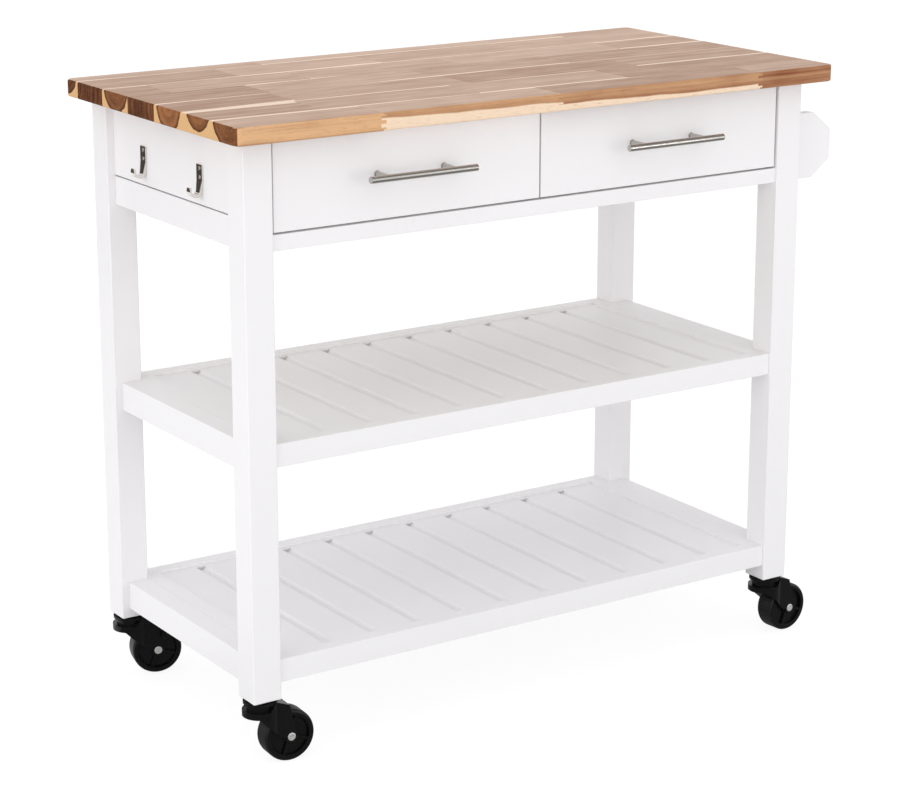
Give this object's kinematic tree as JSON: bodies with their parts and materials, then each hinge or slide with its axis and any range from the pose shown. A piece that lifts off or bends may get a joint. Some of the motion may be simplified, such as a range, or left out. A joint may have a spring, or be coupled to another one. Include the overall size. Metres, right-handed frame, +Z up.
{
  "type": "kitchen island cart",
  "caption": "Kitchen island cart with a butcher-block worktop, drawers on slides, slatted open shelves, side hooks, a towel bar and swivel casters.",
  "frame": {"origin": "on the floor, at the middle of the footprint of the whole cart, its towel brackets included", "axes": "+X to the right as seen from the drawer side, +Y to the back, +Z up"},
  "size_m": [1.059, 0.508, 0.91],
  "materials": {
    "worktop_wood": "oiled butcher block",
    "white_paint": "satin white paint",
    "drawer_wood": "clear lacquer",
    "brushed_steel": "brushed",
    "polished_steel": "polished",
    "zinc": "zinc plated",
    "black_plastic": "satin"
  },
  "bodies": {
    "cabinet": {"worktop": "worktop_wood", "front_left_leg": "white_paint", "front_right_leg": "white_paint", "back_left_leg": "white_paint", "back_right_leg": "white_paint", "left_side_panel": "white_paint", "right_side_panel": "white_paint", "left_upper_rail": "white_paint", "right_upper_rail": "white_paint", "back_panel": "white_paint", "apron_rail": "white_paint", "centre_divider": "white_paint", "worktop_battens": "white_paint", "drawer_channels": "zinc", "middle_left_rail": "white_paint", "middle_right_rail": "white_paint", "middle_front_rail": "white_paint", "middle_back_rail": "white_paint", "middle_stiles": "white_paint", "middle_panel": "white_paint", "lower_left_rail": "white_paint", "lower_right_rail": "white_paint", "lower_front_rail": "white_paint", "lower_back_rail": "white_paint", "lower_stiles": "white_paint", "lower_panel": "white_paint", "front_towel_bracket": "white_paint", "back_towel_bracket": "white_paint", "towel_bar": "white_paint", "towel_bracket_screws": "zinc", "front_hook": "polished_steel", "back_hook": "polished_steel", "hook_screws": "polished_steel", "caster_sockets": "zinc"},
    "left_drawer": {"left_drawer_front": "white_paint", "left_drawer_sides": "drawer_wood", "left_drawer_back": "drawer_wood", "left_drawer_bottom": "drawer_wood", "left_drawer_runners": "zinc", "left_drawer_pull": "brushed_steel", "left_pull_screws": "zinc"},
    "right_drawer": {"right_drawer_front": "white_paint", "right_drawer_sides": "drawer_wood", "right_drawer_back": "drawer_wood", "right_drawer_bottom": "drawer_wood", "right_drawer_runners": "zinc", "right_drawer_pull": "brushed_steel", "right_pull_screws": "zinc"},
    "front_left_swivel": {"front_left_fork": "black_plastic", "front_left_axle": "polished_steel"},
    "front_left_roller": {"front_left_wheel": "black_plastic"},
    "front_right_swivel": {"front_right_fork": "black_plastic", "front_right_axle": "polished_steel"},
    "front_right_roller": {"front_right_wheel": "black_plastic"},
    "back_left_swivel": {"back_left_fork": "black_plastic", "back_left_axle": "polished_steel"},
    "back_left_roller": {"back_left_wheel": "black_plastic"},
    "back_right_swivel": {"back_right_fork": "black_plastic", "back_right_axle": "polished_steel"},
    "back_right_roller": {"back_right_wheel": "black_plastic"}
  },
  "joints": [
    {"name": "left_drawer_slide", "type": "slide", "parent": "cabinet", "child": "left_drawer", "axis": [0, -1, 0], "range_m": [0, 0.3]},
    {"name": "right_drawer_slide", "type": "slide", "parent": "cabinet", "child": "right_drawer", "axis": [0, -1, 0], "range_m": [0, 0.3]},
    {"name": "front_left_caster_swivel", "type": "hinge", "parent": "cabinet", "child": "front_left_swivel", "pos_m": [-0.4785, -0.1945, 0.105], "axis": [0, 0, 1], "continuous": true},
    {"name": "front_left_wheel_spin", "type": "hinge", "parent": "front_left_swivel", "child": "front_left_roller", "pos_m": [-0.44059, -0.19715, 0.038], "axis": [0.0698, 0.9976, 0], "continuous": true},
    {"name": "front_right_caster_swivel", "type": "hinge", "parent": "cabinet", "child": "front_right_swivel", "pos_m": [0.4355, -0.1945, 0.105], "axis": [0, 0, 1], "continuous": true},
    {"name": "front_right_wheel_spin", "type": "hinge", "parent": "front_right_swivel", "child": "front_right_roller", "pos_m": [0.47341, -0.19185, 0.038], "axis": [-0.0698, 0.9976, 0], "continuous": true},
    {"name": "back_left_caster_swivel", "type": "hinge", "parent": "cabinet", "child": "back_left_swivel", "pos_m": [-0.4785, 0.2075, 0.105], "axis": [0, 0, 1], "continuous": true},
    {"name": "back_left_wheel_spin", "type": "hinge", "parent": "back_left_swivel", "child": "back_left_roller", "pos_m": [-0.44163, 0.19831, 0.038], "axis": [0.2419, 0.9703, 0], "continuous": true},
    {"name": "back_right_caster_swivel", "type": "hinge", "parent": "cabinet", "child": "back_right_swivel", "pos_m": [0.4355, 0.2075, 0.105], "axis": [0, 0, 1], "continuous": true},
    {"name": "back_right_wheel_spin", "type": "hinge", "parent": "back_right_swivel", "child": "back_right_roller", "pos_m": [0.47313, 0.21279, 0.038], "axis": [-0.1392, 0.9903, 0], "continuous": true}
  ]
}
